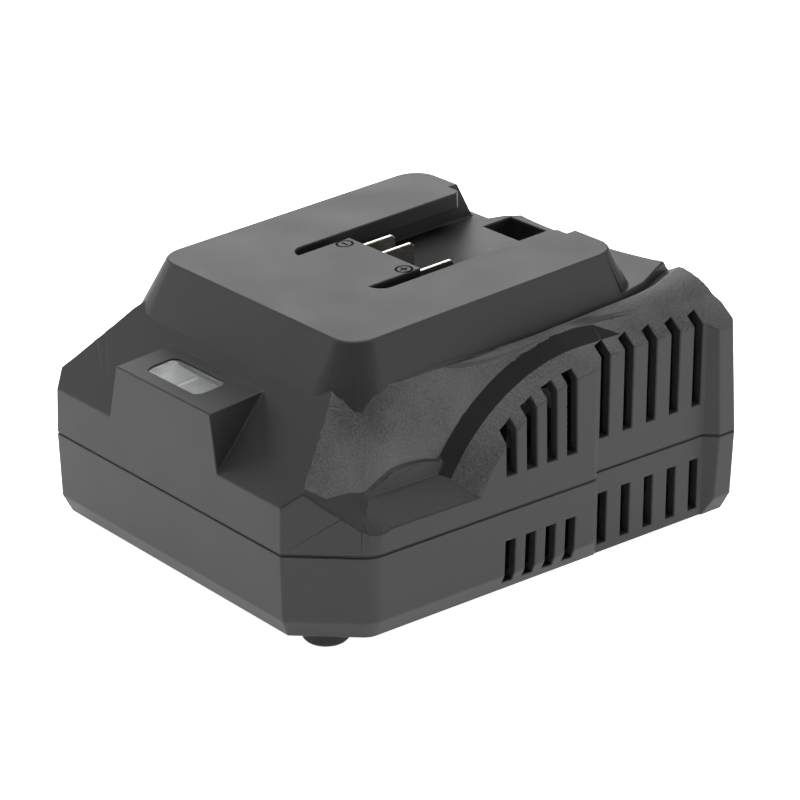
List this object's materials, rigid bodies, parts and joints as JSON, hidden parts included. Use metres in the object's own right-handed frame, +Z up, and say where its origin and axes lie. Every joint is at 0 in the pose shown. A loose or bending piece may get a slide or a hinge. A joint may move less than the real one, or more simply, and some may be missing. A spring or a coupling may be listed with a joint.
{
  "type": "battery charger",
  "caption": "Slide-on charger for cordless tool battery packs: raised dock with guide rails and contact blades, sloping front with indicator window, slotted sides.",
  "frame": {"origin": "centre of the footprint, on the plane that the rubber feet rest on", "axes": "+Z up; -Y is the front with the indicator window; the pack slides on from +Y; +X is to the right seen from the front"},
  "size_m": [0.115, 0.127, 0.0691],
  "materials": {
    "case_plastic": "fine satin grain, dark charcoal",
    "foot_rubber": "matt black",
    "screw_steel": "zinc plated",
    "clear_window": "clear polished moulding",
    "white_plastic": "white moulding",
    "circuit_board": "green solder resist",
    "wire_insulation": "insulated wire",
    "red_lens": "tinted lens",
    "green_lens": "tinted lens",
    "nickel_blade": "bright nickel plating",
    "black_moulding": "black moulding",
    "fuse_body": "ceramic tube with caps",
    "yellow_film": "film capacitor case",
    "ferrite": "sintered ferrite",
    "copper_wire": "enamelled copper",
    "blue_sleeve": "shrink sleeve",
    "yellow_tape": "insulating tape over the winding",
    "sink_aluminium": "plain extruded"
  },
  "bodies": {
    "root": {"upper_case": "case_plastic", "lower_case": "case_plastic", "rubber_feet": "foot_rubber", "case_screws": "screw_steel", "led_window": "clear_window", "led_baffle": "white_plastic", "led_board": "circuit_board", "led_leads": "wire_insulation", "red_led": "red_lens", "green_led": "green_lens", "blade_negative": "nickel_blade", "blade_signal": "nickel_blade", "blade_positive": "nickel_blade", "terminal_block": "black_moulding", "terminal_leads": "wire_insulation", "main_board": "circuit_board", "board_screws": "screw_steel", "mains_inlet": "black_moulding", "inlet_pins": "nickel_blade", "mains_leads": "wire_insulation", "fuse": "fuse_body", "line_capacitor": "yellow_film", "choke_core": "ferrite", "choke_winding": "copper_wire", "bridge_rectifier": "black_moulding", "bulk_capacitor": "blue_sleeve", "transformer_core": "ferrite", "transformer_bobbin": "white_plastic", "transformer_winding": "yellow_tape", "heatsink": "sink_aluminium", "switching_transistor": "black_moulding", "output_diode": "black_moulding", "output_capacitors": "blue_sleeve", "controller_chips": "black_moulding"}
  },
  "joints": []
}
